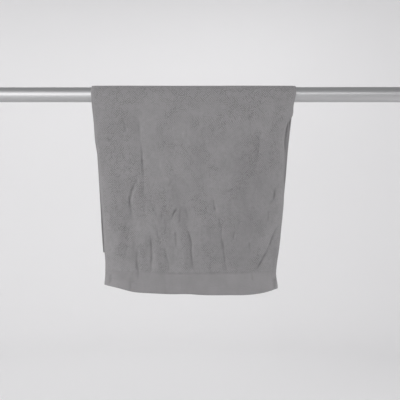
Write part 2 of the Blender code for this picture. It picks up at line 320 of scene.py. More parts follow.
# The fine creases lie in and beside those folds.
FRONT_CREASES = (
    Fold(-0.0015, 0.0036, ((0.4325, 0.068), (0.4345, 0.100), (0.4345, 0.140))),
    Fold(-0.0029, 0.0033, ((0.4368, 0.135), (0.4388, 0.165), (0.4425, 0.198), (0.4435, 0.240))),
    Fold(-0.0012, 0.0036, ((0.4428, 0.236), (0.4438, 0.285))),
    Fold(-0.0029, 0.0036, ((0.4265, 0.232), (0.4120, 0.270), (0.4060, 0.292))),
    Fold(-0.0037, 0.0036, ((0.4066, 0.286), (0.4078, 0.316), (0.4125, 0.345))),
    Fold(-0.0016, 0.0040, ((0.4185, 0.356), (0.4050, 0.372), (0.3960, 0.410))),
    Fold(-0.0018, 0.0040, ((0.3990, 0.418), (0.3930, 0.452))),
    Fold(-0.0044, 0.0050, ((0.4265, 0.432), (0.4270, 0.480), (0.4280, 0.520))),
    Fold(-0.0040, 0.0042, ((0.4088, 0.506), (0.4073, 0.545))),
    Fold(-0.0028, 0.0034, ((0.4655, 0.396), (0.4660, 0.440), (0.4635, 0.505))),
    Fold(-0.0038, 0.0036, ((0.4685, 0.317), (0.4765, 0.326), (0.4845, 0.336))),
    Fold(-0.0025, 0.0036, ((0.4775, 0.360), (0.4885, 0.416))),
    Fold(-0.0021, 0.0034, ((0.4922, 0.329), (0.4953, 0.353))),
    Fold(-0.0030, 0.0038, ((0.5010, 0.414), (0.5075, 0.450), (0.5140, 0.465), (0.5150, 0.494))),
    Fold(-0.0033, 0.0036, ((0.5330, 0.382), (0.5345, 0.424))),
    Fold(-0.0046, 0.0036, ((0.5215, 0.350), (0.5265, 0.334), (0.5370, 0.318))),
    Fold(-0.0028, 0.0034, ((0.5460, 0.320), (0.5460, 0.360))),
    Fold(-0.0016, 0.0040, ((0.5450, 0.319), (0.5600, 0.322), (0.5710, 0.348))),
    Fold(-0.0032, 0.0034, ((0.5625, 0.376), (0.5750, 0.404), (0.5785, 0.462))),
    Fold(-0.0016, 0.0034, ((0.5785, 0.455), (0.5840, 0.498))),
    Fold(-0.0032, 0.0036, ((0.6362, 0.292), (0.6422, 0.326))),
    Fold(-0.0017, 0.0036, ((0.6370, 0.334), (0.6530, 0.344), (0.6560, 0.372))),
    Fold(-0.0037, 0.0034, ((0.6592, 0.360), (0.6592, 0.402), (0.6660, 0.430), (0.6720, 0.495))),
    Fold(-0.0012, 0.0036, ((0.6178, 0.308), (0.6148, 0.347))),
    Fold(-0.0035, 0.0038, ((0.6622, 0.276), (0.6932, 0.265))),
    Fold(-0.0012, 0.0036, ((0.7015, 0.330), (0.7085, 0.352), (0.7055, 0.372))),
    Fold(-0.0022, 0.0034, ((0.6935, 0.378), (0.6945, 0.406))),
    Fold(-0.0026, 0.0042, ((0.7375, 0.410), (0.7395, 0.440))),
    Fold(-0.0034, 0.0036, ((0.8145, 0.366), (0.7970, 0.398), (0.7935, 0.419))),
    Fold(-0.0042, 0.0036, ((0.7945, 0.412), (0.7832, 0.440), (0.7545, 0.492))),
    Fold(-0.0027, 0.0040, ((0.8108, 0.262), (0.8052, 0.294), (0.7880, 0.309))),
    Fold(-0.0023, 0.0048, ((0.7910, 0.324), (0.7880, 0.358))),
    Fold(-0.0014, 0.0040, ((0.7656, 0.108), (0.7626, 0.152), (0.7556, 0.190))),
    Fold(-0.0023, 0.0038, ((0.7366, 0.050), (0.7391, 0.094))),
    Fold(-0.0022, 0.0042, ((0.8160, 0.072), (0.8400, 0.072), (0.8570, 0.068))),
    Fold(-0.0070, 0.0050, ((0.3520, 0.500), (0.3510, 0.532))),
    Fold(-0.0040, 0.0036, ((0.3553, 0.507), (0.3560, 0.523))),
    Fold(-0.0030, 0.0036, ((0.4152, 0.489), (0.4152, 0.526))),
    Fold(-0.0030, 0.0036, ((0.7413, 0.491), (0.7477, 0.519))),
    Fold(-0.0062, 0.0045, ((0.8040, 0.512), (0.8060, 0.546))),
    Fold(-0.0036, 0.0045, ((0.3460, 0.126), (0.3590, 0.127))),
    Fold(-0.0026, 0.0036, ((0.3862, 0.065), (0.3974, 0.109))),
    Fold(-0.0010, 0.0036, ((0.5012, 0.112), (0.5040, 0.160))),
    Fold(-0.0030, 0.0045, ((0.7888, 0.158), (0.7968, 0.174))),
    Fold(-0.0028, 0.0028, ((0.4600, 0.4975), (0.5600, 0.4985), (0.6800, 0.4975), (0.8000, 0.4955))),
    Fold(-0.0022, 0.0046, ((0.5130, 0.262), (0.5245, 0.234), (0.5400, 0.223))),
    Fold(-0.0016, 0.0050, ((0.5390, 0.223), (0.5585, 0.240), (0.5720, 0.267))),
    Fold(0.0016, 0.0060, ((0.5584, 0.080), (0.5584, 0.125))),
    Fold(0.0010, 0.0055, ((0.5705, 0.170), (0.5725, 0.225))),
    Fold(0.0018, 0.0060, ((0.4950, 0.175), (0.4975, 0.215))),
    Fold(0.0013, 0.0070, ((0.5560, 0.400), (0.5580, 0.470))),
)
BACK_CREASES = (
    Fold(-0.0024, 0.0040, ((0.3930, 0.190), (0.3960, 0.285), (0.4010, 0.380))),
    Fold(-0.0030, 0.0038, ((0.5130, 0.250), (0.5080, 0.330), (0.5110, 0.415))),
    Fold(-0.0018, 0.0040, ((0.4720, 0.330), (0.4690, 0.430))),
    Fold(-0.0028, 0.0038, ((0.6530, 0.230), (0.6490, 0.310), (0.6550, 0.425))),
    Fold(-0.0018, 0.0040, ((0.6150, 0.350), (0.6190, 0.440))),
    Fold(-0.0030, 0.0038, ((0.7800, 0.260), (0.7700, 0.340), (0.7740, 0.420))),
)

# Where the nap stands roughest, as soft spots and streaks
FRONT_NAP = (
    Fold(1.0, 0.030, ((0.395, 0.010), (0.388, 0.110), (0.404, 0.190), (0.436, 0.262), (0.446, 0.310))),
    Fold(0.9, 0.026, ((0.352, 0.060), (0.350, 0.190), (0.368, 0.290))),
    Fold(0.9, 0.022, ((0.320, 0.000), (0.450, 0.004), (0.560, 0.000), (0.700, 0.006), (0.850, 0.000))),
    Fold(0.9, 0.022, ((0.500, 0.098), (0.530, 0.045), (0.580, 0.020))),
    Fold(1.0, 0.032, ((0.665, 0.075), (0.700, 0.050), (0.750, 0.045))),
    Fold(0.9, 0.024, ((0.590, 0.085), (0.640, 0.105))),
    Fold(1.0, 0.017, ((0.765, 0.120), (0.755, 0.190), (0.715, 0.250), (0.690, 0.280))),
    Fold(0.8, 0.022, ((0.730, 0.130), (0.725, 0.180))),
    Fold(1.0, 0.016, ((0.822, 0.050), (0.806, 0.100), (0.806, 0.190))),
    Fold(0.9, 0.018, ((0.500, 0.145), (0.570, 0.160), (0.605, 0.150), (0.640, 0.215))),
    Fold(0.8, 0.014, ((0.515, 0.205), (0.518, 0.212))),
    Fold(0.6, 0.020, ((0.570, 0.195), (0.610, 0.270), (0.600, 0.320))),
    Fold(0.9, 0.017, ((0.498, 0.278), (0.505, 0.325))),
    Fold(0.9, 0.019, ((0.360, 0.360), (0.408, 0.390), (0.378, 0.445))),
    Fold(0.7, 0.020, ((0.350, 0.320), (0.395, 0.345))),
    Fold(0.8, 0.016, ((0.498, 0.390), (0.490, 0.440), (0.500, 0.480))),
    Fold(0.8, 0.014, ((0.440, 0.425), (0.440, 0.480))),
    Fold(0.6, 0.013, ((0.557, 0.380), (0.560, 0.480))),
    Fold(0.9, 0.020, ((0.585, 0.300), (0.640, 0.360), (0.690, 0.360))),
    Fold(0.9, 0.024, ((0.620, 0.440), (0.640, 0.470))),
    Fold(0.8, 0.014, ((0.690, 0.440), (0.692, 0.480))),
    Fold(0.9, 0.013, ((0.768, 0.432), (0.745, 0.482))),
    Fold(0.7, 0.011, ((0.740, 0.335), (0.770, 0.372), (0.765, 0.395))),
    Fold(0.6, 0.012, ((0.745, 0.215), (0.800, 0.200))),
)
BACK_NAP = (
    Fold(0.9, 0.030, ((0.380, 0.050), (0.420, 0.170), (0.400, 0.330))),
    Fold(0.8, 0.030, ((0.560, 0.030), (0.640, 0.080), (0.760, 0.060))),
    Fold(0.8, 0.022, ((0.770, 0.180), (0.720, 0.270), (0.700, 0.380))),
    Fold(0.7, 0.025, ((0.520, 0.220), (0.540, 0.330), (0.620, 0.370))),
)

# Painted shade of the broad soft folds: where the pile is coloured darker
FRONT_BROAD_SHADE = (
    Fold(0.80, 0.060, ((0.735, 0.190), (0.735, 0.330), (0.715, 0.440))),
    Fold(0.30, 0.035, ((0.622, 0.390), (0.625, 0.460))),
    Fold(1.00, 0.021, ((0.538, 0.285), (0.550, 0.355))),
    Fold(0.45, 0.014, ((0.515, 0.400), (0.520, 0.465))),
    Fold(0.45, 0.014, ((0.418, 0.055), (0.420, 0.100))),
    Fold(0.50, 0.016, ((0.815, 0.020), (0.825, 0.040))),
    Fold(0.40, 0.016, ((0.600, 0.150), (0.607, 0.230))),
    Fold(0.40, 0.018, ((0.345, 0.450), (0.420, 0.455))),
)
BACK_BROAD_SHADE = (
    Fold(0.50, 0.040, ((0.420, 0.160), (0.400, 0.340))),
    Fold(0.40, 0.045, ((0.680, 0.120), (0.700, 0.300))),
)

# The small puckers and crinkles of washed terry
PUCKERS = (
    Pucker(0.0009, 0.026, 0.070, 0.9, 11),
    Pucker(0.0006, 0.013, 0.028, 0.7, 23),
    Pucker(0.0003, 0.0075, 0.009, 0.0, 37),
)
CRINKLES = (
    Crinkle(0.0012, 0.021, 0.062, 1.0, 41, 42),
    Crinkle(0.0009, 0.013, 0.030, 0.8, 53, 54),
)


def smooth_curve(stations: list[float], values: list[float], at: np.ndarray) -> np.ndarray:
    """A smooth curve through values at stations.

    Args:
        stations: where the values stand, rising.
        values: the curve's value at each station.
        at: where to read the curve.

    Returns:
        The curve's values there, with the same shape as at.
    """
    knots = np.asarray(stations, float)
    heights = np.asarray(values, float)
    slopes = np.gradient(heights, knots)
    at = np.clip(at, knots[0], knots[-1])
    low = np.clip(np.searchsorted(knots, at, side="right") - 1, 0, len(knots) - 2)
    width = knots[low + 1] - knots[low]
    step = (at - knots[low]) / width
    rest = 1 - step
    start = heights[low] * (1 + 2 * step) * rest**2 + slopes[low] * width * step * rest**2
    end = heights[low + 1] * (1 + 2 * rest) * step**2 - slopes[low + 1] * width * rest * step**2
    return start + end


def nearest_on_route(x: np.ndarray, fall: np.ndarray, route: Route) -> tuple[np.ndarray, np.ndarray]:
    """How far each point of a drop lies from a fold's route, and how far along the route.

    Args:
        x: the points' X.
        fall: the points' falls.
        route: the fold's points as X and fall.

    Returns:
        The distances in metres, and the places along the route from 0 at its start to 1 at its end.
    """
    nearest = np.full(np.shape(x), np.inf)
    place = np.zeros(np.shape(x))
    passed = 0.0
    for (start_x, start_fall), (end_x, end_fall) in zip(route, route[1:]):
        run_x = end_x - start_x
        run_fall = end_fall - start_fall
        run = math.hypot(run_x, run_fall)
        along = ((x - start_x) * run_x + (fall - start_fall) * run_fall) / run**2
        along = np.clip(along, 0, 1)
        away = np.hypot(x - start_x - along * run_x, fall - start_fall - along * run_fall)
        place = np.where(away < nearest, passed + along * run, place)
        nearest = np.minimum(nearest, away)
        passed += run
    return nearest, place / passed


def fold_relief(folds: tuple[Fold, ...], x: np.ndarray, fall: np.ndarray, taper: bool) -> np.ndarray:
    """The height of all folds together.

    Args:
        folds: the folds or creases of one drop.
        x: the points' X.
        fall: the points' falls.
        taper: whether each runs out softly towards both ends.

    Returns:
        How far each point stands out, in metres.
    """
    relief = np.zeros(np.shape(x))
    for fold in folds:
        away, place = nearest_on_route(x, fall, fold.route)
        height = fold.height * (1 - np.abs(2 * place - 1) ** CREASE_TAPER) if taper else fold.height
        relief += height * np.exp(-((away / fold.half_width) ** 2))
    return relief


def line_falls(line: tuple[LinePoint, ...], share: np.ndarray) -> np.ndarray:
    """The falls of a line across a drop, at shares of the width."""
    return smooth_curve([point.share for point in line], [point.fall for point in line], share)


def quarter_turn(steps: int) -> list[float]:
    """The angles of a quarter turn in even steps, both ends included."""
    return [QUARTER_TURN * step / steps for step in range(steps + 1)]


def full_turn(sides: int) -> np.ndarray:
    """The angles of a full turn in even steps, its end left out."""
    return np.arange(sides) * FULL_TURN / sides


def reach_weight(distance: np.ndarray, reach: float) -> np.ndarray:
    """1 at an edge, falling smoothly to 0 at the given reach from it."""
    return np.clip(1 - distance / reach, 0, 1) ** 2


def link(obj: bpy.types.Object) -> bpy.types.Object:
    """Links an object to the scene and returns it."""
    bpy.context.scene.collection.objects.link(obj)
    return obj


def plain_mesh(obj: bpy.types.Object) -> bpy.types.Mesh:
    """The mesh that an object's modifiers make, as plain mesh."""
    graph = bpy.context.evaluated_depsgraph_get()
    return bpy.data.meshes.new_from_object(obj.evaluated_get(graph), depsgraph=graph)


def grid_mesh(name: str, points: np.ndarray, closed_round: bool = False) -> bpy.types.Mesh:
    """A mesh of quads through a grid of points.

    Args:
        name: the mesh's name.
        points: the grid, as rows by columns by 3.
        closed_round: whether the last column joins the first.

    Returns:
        The new mesh.
    """
    rows, columns = points.shape[:2]
    across = columns if closed_round else columns - 1
    row, column = np.meshgrid(np.arange(rows - 1), np.arange(across), indexing="ij")
    beside = (column + 1) % columns
    here = row * columns
    below = here + columns
    corners = (here + column, here + beside, below + beside, below + column)
    faces = np.stack([corner.ravel() for corner in corners], axis=1)
    mesh = bpy.data.meshes.new(name)
    mesh.from_pydata(points.reshape(-1, 3).tolist(), [], faces.tolist())
    mesh.update()
    return mesh


class NoiseField:
    """One seeded smooth noise over the flat cloth, so that every row reads the same lattice."""

    def __init__(self, across: float, along: float, seed: int) -> None:
        """Draws the lattice.

        Args:
            across: the size of a cell across the cloth.
            along: the size of a cell along the cloth.
            seed: the seed of the draw.
        """
        self.across = across
        self.along = along
        columns = int(CLOTH_WIDTH / across) + LATTICE_MARGIN
        rows = int(2 * CLOTH_LENGTH / along) + LATTICE_MARGIN
        self.lattice = np.random.default_rng(seed).uniform(-1, 1, (columns, rows))

    def read(self, across: np.ndarray, along: np.ndarray) -> np.ndarray:
        """The noise at places on the flat cloth.

        Args:
            across: how far the places are from the left edge.
            along: how far they are from the rail, with the front below zero.

        Returns:
            Noise from -1 to 1.
        """
        column = across / self.across + 1
        row = (along + CLOTH_LENGTH) / self.along + 1
        low_column = np.floor(column).astype(int)
        low_row = np.floor(row).astype(int)
        step_column = column - low_column
        step_row = row - low_row
        ease_column = step_column**2 * (3 - 2 * step_column)
        ease_row = step_row**2 * (3 - 2 * step_row)
        near = self.lattice[low_column, low_row] * (1 - ease_column)
        near = near + self.lattice[low_column + 1, low_row] * ease_column
        far = self.lattice[low_column, low_row + 1] * (1 - ease_column)
        far = far + self.lattice[low_column + 1, low_row + 1] * ease_column
        return near * (1 - ease_row) + far * ease_row


class WashedSurface:
    """The small puckers and thin crinkles of washed terry, over the whole flat cloth."""

    def __init__(self, puckers: tuple[Pucker, ...], crinkles: tuple[Crinkle, ...]) -> None:
        """Draws the noise of every size."""
        self.wander = NoiseField(*WANDER_CELL, WANDER_SEED)
        self.strength = NoiseField(*CREASE_CELL, CREASE_SEED)
        self.puckers = [(p, NoiseField(p.across, p.along, p.seed)) for p in puckers]
        self.crinkles = []
        for crinkle in crinkles:
            lines = NoiseField(crinkle.across, crinkle.along, crinkle.seed)
            patches = NoiseField(PATCH_WIDTH * crinkle.across, crinkle.along, crinkle.patch_seed)
            self.crinkles.append((crinkle, lines, patches))

    def relief(self, across: np.ndarray, along: np.ndarray, depth: np.ndarray) -> np.ndarray:
        """How far the puckers stand out and the crinkles sink in.

        Args:
            across: the places across the flat cloth.
            along: the places along it, from the rail.
            depth: how far down its drop each place is, from 0 to 1.

        Returns:
            The relief in metres.
        """
        relief = np.zeros(np.shape(across))
        for pucker, noise in self.puckers:
            relief = relief + pucker.height * depth**pucker.growth * noise.read(across, along)
        for (crinkle, _, _), weight in zip(self.crinkles, self.weights(across, along, depth)):
            relief = relief - crinkle.depth * weight
        return relief

    def crease_relief(self, creases: tuple[Fold, ...], at: Station, along: np.ndarray) -> np.ndarray:
        """The height of the fine creases, which wander and come and go.

        Args:
            creases: the creases of one drop.
            at: the row's places.
            along: the places along the flat cloth, from the rail.

        Returns:
            How far each point stands out, in metres.
        """
        across = at.share * CLOTH_WIDTH
        x = at.x + WANDER * self.wander.read(across, along)
        coming = CREASE_COVER + CREASE_VARIETY * self.strength.read(across, along)
        return fold_relief(creases, x, at.fall, taper=True) * coming

    def weights(self, across: np.ndarray, along: np.ndarray, depth: np.ndarray) -> list[np.ndarray]:
        """How strong each size of crinkle is at each place, from 0 to 1."""
        weights = []
        for crinkle, lines, patches in self.crinkles:
            line = (1 - np.abs(lines.read(across, along))) ** CRINKLE_SHARPNESS
            patch = np.clip(patches.read(across, along) + CRINKLE_COVER, 0, 1)
            weights.append(depth**crinkle.growth * line * patch)
        return weights


@dataclass(frozen=True)
class Drop:
    """One hanging side of the towel."""

    side: Side
    sections: tuple[Section, ...]
    band_line: tuple[LinePoint, ...]
    hem_line: tuple[LinePoint, ...]
    corners: tuple[float, float]
    folds: tuple[Fold, ...]
    creases: tuple[Fold, ...]
    nap: tuple[Fold, ...]
    # The patches of painted shade of the broad folds
    broad_shade: tuple[Fold, ...]
    pile_spans: int
    surface: WashedSurface
    hem_depth: float = 0.024
    step_width: float = 0.0012
    edge_reach: float = 0.050
    corner_reach: float = 0.095
    band_calm: float = 0.45
    band_calm_reach: float = 0.016
    ripple_height: float = 0.0006
    ripple_fade: float = 0.080
    # A crease this deep gets the full painted crease shade
    deep_crease: float = 0.0036
    band_spans: int = 7
    hem_spans: int = 5
    band_thickness: float = 0.0014
    hem_thickness: float = 0.0026
    hem_edge_thickness: float = 0.0012
    waves: tuple[Wave, ...] = (Wave(0.5, 3.0, 0.4), Wave(0.3, 7.0, 1.9), Wave(0.2, 11.0, 5.1))

    def read(self, column: str, fall: np.ndarray) -> np.ndarray:
        """One column of the sections, at the given falls."""
        values = [getattr(row, column) for row in self.sections]
        return smooth_curve([row.fall for row in self.sections], values, fall)

    def lines(self, share: np.ndarray) -> list[np.ndarray]:
        """The falls of the rail, the band's edge and step, the hem's seam and step, and the hem."""
        band = line_falls(self.band_line, share)
        hem = line_falls(self.hem_line, share)
        seam = hem - self.hem_depth
        return [0 * band, band, band + self.step_width, seam, seam + self.step_width, hem]

    def rows(self) -> list[Row]:
        """The rows of the sheet, from just below the rail to the hem."""
        stretches = (
            (self.pile_spans, PILE_THICKNESS, Weave.PILE),
            (1, self.band_thickness, Weave.FLAT),
            (self.band_spans, self.band_thickness, Weave.FLAT),
            (1, self.hem_thickness, Weave.HEM),
            (self.hem_spans, self.hem_thickness, Weave.HEM),
        )
        rows = []
        for line, (spans, thickness, weave) in enumerate(stretches):
            rows += [Row(line, (step + 1) / spans, thickness, weave) for step in range(spans)]
        rows[-1] = rows[-1]._replace(thickness=self.hem_edge_thickness)
        return rows

    def ripple(self, share: np.ndarray) -> np.ndarray:
        """How far the cloth lifts off the rail, across the towel."""
        waves = sum(wave.share * np.sin(wave.count * share + wave.start) for wave in self.waves)
        return self.ripple_height * (1 + waves)

    def station(self, row: Row, share: np.ndarray) -> Station:
        """Where one row of the sheet lies on the drop.

        Args:
            row: the row to place.
            share: the columns, as shares of the width.

        Returns:
            The row's places and the share of the folds that reaches each.
        """
        lines = self.lines(share)
        fall = lines[row.line] + (lines[row.line + 1] - lines[row.line]) * row.way
        left = self.read("left", fall)
        right = self.read("right", fall)
        band, hem = lines[1], lines[-1]
        in_band = np.clip((fall - band) / (hem - band), 0, 1)
        calm = 1 - (1 - self.band_calm) * np.clip((fall - band) / self.band_calm_reach + 1, 0, 1)
        x = left + (right - left) * share
        return Station(share, x, fall, left, right, fall / hem, in_band, calm)

    def points(self, row: Row, share: np.ndarray) -> np.ndarray:
        """One row of the sheet's middle surface, as columns by 3."""
        at = self.station(row, share)
        along = self.side * at.fall
        fine = self.surface.relief(share * CLOTH_WIDTH, along, at.depth)
        fine = fine + self.surface.crease_relief(self.creases, at, along)
        out = CLOTH_RADIUS + self.ripple(share) * np.clip(1 - at.fall / self.ripple_fade, 0, 1)
        out = out + (fold_relief(self.folds, at.x, at.fall, taper=False) + fine) * at.calm
        out = out + self.read("bow", at.fall) * (1 - (2 * share - 1) ** 2)
        out = out - self.read("turn_left", at.fall) * reach_weight(at.x - at.left, self.edge_reach)
        out = out - self.read("turn_right", at.fall) * reach_weight(at.right - at.x, self.edge_reach)
        out = out - self.corners[0] * reach_weight(at.x - at.left, self.corner_reach) * at.in_band
        out = out - self.corners[1] * reach_weight(at.right - at.x, self.corner_reach) * at.in_band
        return np.stack([at.x, self.side * out, -at.fall], axis=1)

    def crease_shade(self, row: Row, share: np.ndarray) -> np.ndarray:
        """How much painted shade darkens the creases and thin crinkles along one row, from 0 to 1."""
        at = self.station(row, share)
        along = self.side * at.fall
        deep = -self.surface.crease_relief(self.creases, at, along) / self.deep_crease
        thin = sum(self.surface.weights(share * CLOTH_WIDTH, along, at.depth))
        return np.clip(np.clip(deep, 0, 1) ** 2 + CRINKLE_SHADE * thin, 0, 1) * at.calm

    def marks(self, marks: tuple[Fold, ...], row: Row, share: np.ndarray) -> np.ndarray:
        """How strong a set of marks is along one row, from 0 to 1."""
        at = self.station(row, share)
        return np.clip(fold_relief(marks, at.x, at.fall, taper=False), 0, 1)


def pick(sockets: Iterable[Socket], identifier: str) -> Socket:
    """The one of a node's sockets that has an identifier."""
    return next(socket for socket in sockets if socket.identifier == identifier)


class NodeGraph:
    """A short way to write the nodes of a tree."""

    def __init__(self, tree: bpy.types.NodeTree) -> None:
        """Keeps the tree."""
        self.tree = tree

    def add(self, kind: str, **settings: object) -> bpy.types.Node:
        """Adds a node of a kind, with its settings as attributes."""
        node = self.tree.nodes.new(kind)
        for key, value in settings.items():
            setattr(node, key, value)
        return node

    def join(self, start: Socket, end: Socket) -> None:
        """Links one socket to another."""
        self.tree.links.new(start, end)

    def feed(self, socket: Socket, value: object) -> None:
        """Gives a socket a link or a constant."""
        if isinstance(value, Socket):
            self.join(value, socket)
        else:
            socket.default_value = value


class MaterialGraph(NodeGraph):
    """The nodes of one material with a Principled shader."""

    def __init__(self, name: str) -> None:
        """Starts the material."""
        self.material = bpy.data.materials.new(name)
        self.material.use_nodes = True
        super().__init__(self.material.node_tree)
        self.shader = self.tree.nodes["Principled BSDF"]

    def attribute(self, name: str) -> Socket:
        """A number that the mesh carries at each of its points."""
        return self.add("ShaderNodeAttribute", attribute_name=name).outputs["Fac"]

    def math(self, operation: str, first: object, second: object) -> Socket:
        """The result of a Math node on two sockets or numbers, kept from 0 to 1."""
        node = self.add("ShaderNodeMath", operation=operation, use_clamp=True)
        self.feed(node.inputs[0], first)
        self.feed(node.inputs[1], second)
        return node.outputs[0]

    def mix(self, factor: object, first: object, second: object) -> Socket:
        """The mix of two numbers by a factor."""
        node = self.add("ShaderNodeMix", data_type="FLOAT")
        self.feed(node.inputs["Factor"], factor)
        self.feed(node.inputs["A"], first)
        self.feed(node.inputs["B"], second)
        return node.outputs["Result"]

    def mix_colour(self, factor: object, first: object, second: object) -> Socket:
        """The mix of two colours by a factor."""
        node = self.add("ShaderNodeMix", data_type="RGBA")
        self.feed(pick(node.inputs, "Factor_Float"), factor)
        self.feed(pick(node.inputs, "A_Color"), first)
        self.feed(pick(node.inputs, "B_Color"), second)
        return pick(node.outputs, "Result_Color")

    def ramp(self, value: Socket, low: float, high: float) -> Socket:
        """A value eased from 0 at low to 1 at high."""
        node = self.add("ShaderNodeMapRange", interpolation_type="SMOOTHSTEP")
        self.join(value, node.inputs["Value"])
        node.inputs["From Min"].default_value = low
        node.inputs["From Max"].default_value = high
        return node.outputs["Result"]

    def mapped(self, vector: Socket, scale: Place, turn: float = 0.0) -> Socket:
        """A vector scaled on each axis, after a turn about Z."""
        node = self.add("ShaderNodeMapping")
        self.join(vector, node.inputs["Vector"])
        node.inputs["Scale"].default_value = scale
        node.inputs["Rotation"].default_value = (0.0, 0.0, turn)
        return node.outputs["Vector"]

    def noise(self, vector: Socket, pitch: float, detail: float) -> Socket:
        """Noise over a vector, from 0 to 1, in grains of the given pitch."""
        node = self.add("ShaderNodeTexNoise")
        self.join(vector, node.inputs["Vector"])
        node.inputs["Scale"].default_value = 1 / pitch
        node.inputs["Detail"].default_value = detail
        return node.outputs["Fac"]

    def tufts(self, vector: Socket, pitch: float, edge: float, randomness: float) -> Socket:
        """Round tufts over a flat vector: 1 at their tops and 0 from their edges on."""
        node = self.add("ShaderNodeTexVoronoi", feature="F1", voronoi_dimensions="2D")
        self.join(vector, node.inputs["Vector"])
        node.inputs["Scale"].default_value = 1 / pitch
        node.inputs["Randomness"].default_value = randomness
        return self.ramp(node.outputs["Distance"], edge, 0.0)

    def bump(self, height: Socket, strength: float, distance: float) -> None:
        """Ends the graph with a bump on the shader's normal."""
        node = self.add("ShaderNodeBump")
        node.inputs["Strength"].default_value = strength
        node.inputs["Distance"].default_value = distance
        self.join(height, node.inputs["Height"])
        self.join(node.outputs["Normal"], self.shader.inputs["Normal"])


@dataclass(frozen=True)
class TerryFinish:
    """Grey cotton terry: looped pile in soft clumps, with a flat woven band, hem and selvedge."""

    name: str = "grey_terry"
    pile: Colour = (0.403, 0.395, 0.399, 1.0)
    pile_shade: Colour = (0.117, 0.114, 0.117, 1.0)
    # The darkest colour: painted shade in the creases and broad folds, and the darker patches of wear
    shade_and_wear: Colour = (0.105, 0.102, 0.106, 1.0)
    flat: Colour = (0.280, 0.273, 0.277, 1.0)
    flat_shade: Colour = (0.225, 0.219, 0.223, 1.0)
    roughness: float = 0.96
    sheen: float = 0.2
    sheen_roughness: float = 0.6
    specular: float = 0.15
    tuft_edge: float = 0.62
    loop_pitch: float = 0.0016
    loop_randomness: float = 0.85
    loop_part: float = 0.22
    clump_pitch: float = 0.0046
    clump_turn: float = math.radians(45)
    clump_randomness: float = 0.35
    uneven_detail: float = 3.0
    uneven_part: float = 0.20
    patch_pitch: float = 0.017
    patch_detail: float = 1.0
    patch_range: tuple[float, float] = (0.36, 0.56)
    nap_outside_patches: float = 0.35
    least_in_patches: float = 0.25
    smooth_tone: float = 0.5
    wear_pitch: float = 0.055
    wear_detail: float = 2.0
    wear_range: tuple[float, float] = (0.3, 0.7)
    wear_depth: float = 0.10
    rib_pitch: float = 0.0011
    # At a scale of 1 the wave node's bands are this far apart.
    rib_wave: float = HALF_TURN / 10
    rib_distortion: float = 0.6
    rib_detail: float = 1.0
    thread_scale: Place = (0.3, 1.0, 1.0)
    thread_detail: float = 2.0
    thread_part: float = 0.6
    # How far the painted crease shade darkens the cloth towards the darkest colour
    crease_shade_depth: float = 0.55
    # How far the painted shade of the broad folds darkens the pile
    broad_shade_depth: float = 0.20
    flat_height: float = 0.3
    bump_strength: float = 1.0
    bump_height: float = 0.0014

    def pile_tone(self, graph: MaterialGraph, cloth: Socket, nap: Socket) -> Socket:
        """How high and light the pile stands: loops in clumps, which show most in a rough nap.

        Args:
            graph: the material's graph.
            cloth: the place on the flat cloth, in metres.
            nap: how rough the nap is there, from 0 to 1.

        Returns:
            The height and tone, from 0 to 1.
        """
        loops = graph.tufts(cloth, self.loop_pitch, self.tuft_edge, self.loop_randomness)
        turned = graph.mapped(cloth, (1.0, 1.0, 1.0), self.clump_turn)
        clumps = graph.tufts(turned, self.clump_pitch, self.tuft_edge, self.clump_randomness)
        patchy = graph.noise(cloth, self.patch_pitch, self.patch_detail)
        patches = graph.ramp(patchy, *self.patch_range)
        uneven = graph.noise(cloth, 2 * self.clump_pitch, self.uneven_detail)
        outside = graph.math("MULTIPLY", nap, self.nap_outside_patches)
        inside = graph.mix(nap, self.least_in_patches, 1.0)
        clumps = graph.mix(graph.mix(patches, outside, inside), self.smooth_tone, clumps)
        return graph.mix(self.uneven_part, graph.mix(self.loop_part, clumps, loops), uneven)

    def flat_tone(self, graph: MaterialGraph, cloth: Socket) -> Socket:
        """The fine ribs and uneven threads of the flat weave.

        Args:
            graph: the material's graph.
            cloth: the place on the flat cloth, in metres.

        Returns:
            The height and tone, from 0 to 1.
        """
        ribs = graph.add("ShaderNodeTexWave", wave_type="BANDS", wave_profile="SIN")
        ribs.bands_direction = "Y"
        graph.join(cloth, ribs.inputs["Vector"])
        ribs.inputs["Scale"].default_value = self.rib_wave / self.rib_pitch
        ribs.inputs["Distortion"].default_value = self.rib_distortion
        ribs.inputs["Detail"].default_value = self.rib_detail
        stretched = graph.mapped(cloth, self.thread_scale)
        threads = graph.noise(stretched, 2 * self.rib_pitch, self.thread_detail)
        return graph.mix(self.thread_part, ribs.outputs["Fac"], threads)

    def build(self) -> bpy.types.Material:
        """Builds the material, which reads the cloth's own map in metres and its attributes."""
        graph = MaterialGraph(self.name)
        cloth = graph.add("ShaderNodeUVMap", uv_map="cloth").outputs["UV"]
        is_flat = graph.math("MINIMUM", graph.attribute("weave"), 1.0)
        pile_tone = self.pile_tone(graph, cloth, graph.attribute("nap"))
        flat_tone = self.flat_tone(graph, cloth)
        wear = graph.noise(cloth, self.wear_pitch, self.wear_detail)
        pile_colour = graph.mix_colour(pile_tone, self.pile_shade, self.pile)
        # Painted shade of the broad folds, darkening the pile
        broad_shaded = graph.math("MULTIPLY", graph.attribute("broad_shade"), self.broad_shade_depth)
        pile_colour = graph.mix_colour(broad_shaded, pile_colour, self.shade_and_wear)
        flat_colour = graph.mix_colour(flat_tone, self.flat_shade, self.flat)
        colour = graph.mix_colour(is_flat, pile_colour, flat_colour)
        worn = graph.math("MULTIPLY", graph.ramp(wear, *self.wear_range), self.wear_depth)
        colour = graph.mix_colour(worn, colour, self.shade_and_wear)
